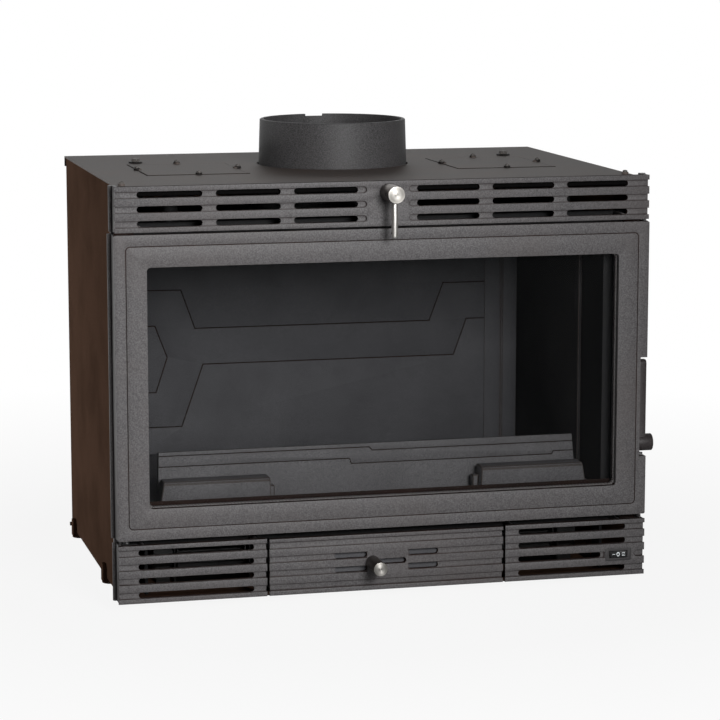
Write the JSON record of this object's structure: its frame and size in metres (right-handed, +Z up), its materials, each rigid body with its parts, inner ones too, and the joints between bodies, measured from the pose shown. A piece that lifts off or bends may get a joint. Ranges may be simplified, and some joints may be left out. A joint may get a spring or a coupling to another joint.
{
  "type": "fireplace insert",
  "caption": "Wood-burning fireplace insert with a wide glazed cast-iron door, slotted warm-air grilles, ash drawer with air shutter, damped flue collar and convection blowers.",
  "frame": {"origin": "middle of the overall box in X and Y, on the surface that the feet stand on", "axes": "+X to the right as seen from the front, along the width; +Y from the glazed front to the back; +Z up"},
  "size_m": [0.718, 0.546, 0.602],
  "materials": {
    "facade_iron": "charcoal grey stove paint on grainy castings",
    "chamber_iron": "dark matt castings",
    "chamber_steel": "matt dark heat-resistant paint on welded plate",
    "casing_steel": "brown-black satin heat-resistant paint on sheet",
    "flue_iron": "dark charcoal paint",
    "plain_steel": "plain rolled or machined",
    "stainless_steel": "turned bright",
    "ceramic_glass": "clear heat-proof glass",
    "sealing_rope": "braided black glass-fibre rope",
    "black_plastic": "black moulded",
    "motor_steel": "black lacquered motor body"
  },
  "bodies": {
    "insert": {"top_grille": "facade_iron", "lower_grille_left": "facade_iron", "lower_grille_right": "facade_iron", "front_frame": "chamber_iron", "firebox_floor": "chamber_iron", "grate": "chamber_iron", "fireback": "chamber_iron", "side_liner_left": "chamber_iron", "side_liner_right": "chamber_iron", "air_column_left": "chamber_iron", "air_column_right": "chamber_iron", "hearth_block_left": "chamber_iron", "hearth_block_right": "chamber_iron", "log_guard": "chamber_iron", "firebox_shell": "chamber_steel", "firebox_roof": "chamber_steel", "baffle": "chamber_steel", "casing_left": "casing_steel", "casing_right": "casing_steel", "casing_back": "casing_steel", "casing_base": "casing_steel", "casing_top": "casing_steel", "outlet_cover_left": "casing_steel", "outlet_cover_right": "casing_steel", "foot_front_left": "casing_steel", "foot_front_right": "casing_steel", "foot_rear_left": "casing_steel", "foot_rear_right": "casing_steel", "flue_collar": "flue_iron", "top_bolt_left": "plain_steel", "top_bolt_right": "plain_steel", "ash_chute": "plain_steel", "switch_body": "black_plastic", "cable_gland": "black_plastic", "blower_motor_left": "motor_steel", "blower_motor_right": "motor_steel", "blower_case_left": "motor_steel", "blower_case_right": "motor_steel"},
    "door": {"door_frame": "facade_iron", "door_glass": "ceramic_glass", "glass_rope": "sealing_rope", "door_rope": "sealing_rope", "glass_clip_left": "plain_steel", "glass_clip_right": "plain_steel", "hinge_pin_bottom": "plain_steel", "hinge_pin_top": "plain_steel"},
    "latch_handle": {"handle": "facade_iron", "latch_shaft": "plain_steel"},
    "damper": {"damper_knob": "stainless_steel", "damper_rod": "stainless_steel", "damper_shaft": "plain_steel", "damper_plate": "chamber_iron"},
    "ash_drawer": {"drawer_front": "facade_iron", "ash_pan": "plain_steel"},
    "air_register": {"air_shutter": "plain_steel", "shutter_knob": "stainless_steel"},
    "rocker": {"switch_rocker": "black_plastic"},
    "fan_left": {"blower_rotor_left": "motor_steel"},
    "fan_right": {"blower_rotor_right": "motor_steel"}
  },
  "joints": [
    {"name": "door_hinge", "type": "hinge", "parent": "insert", "child": "door", "pos_m": [-0.337, -0.21, 0.0955], "axis": [0, 0, -1], "range_deg": [0, 105]},
    {"name": "handle_turn", "type": "hinge", "parent": "door", "child": "latch_handle", "pos_m": [0.3426, -0.216, 0.189], "axis": [1, 0, 0], "range_deg": [0, 80]},
    {"name": "damper_turn", "type": "hinge", "parent": "insert", "child": "damper", "pos_m": [0, -0.23, 0.53], "axis": [0, -1, 0], "range_deg": [0, 90]},
    {"name": "ash_slide", "type": "slide", "parent": "insert", "child": "ash_drawer", "axis": [0, -1, 0], "range_m": [0, 0.3]},
    {"name": "air_slide", "type": "slide", "parent": "ash_drawer", "child": "air_register", "axis": [1, 0, 0], "range_m": [0, 0.04]},
    {"name": "switch_rock", "type": "hinge", "parent": "insert", "child": "rocker", "pos_m": [0.3145, -0.227, 0.0426], "axis": [0, 0, 1], "range_deg": [-12, 12]},
    {"name": "blower_left_spin", "type": "hinge", "parent": "insert", "child": "fan_left", "pos_m": [-0.212, -0.108, 0.05], "axis": [1, 0, 0], "continuous": true},
    {"name": "blower_right_spin", "type": "hinge", "parent": "insert", "child": "fan_right", "pos_m": [0.212, -0.108, 0.05], "axis": [1, 0, 0], "continuous": true}
  ]
}
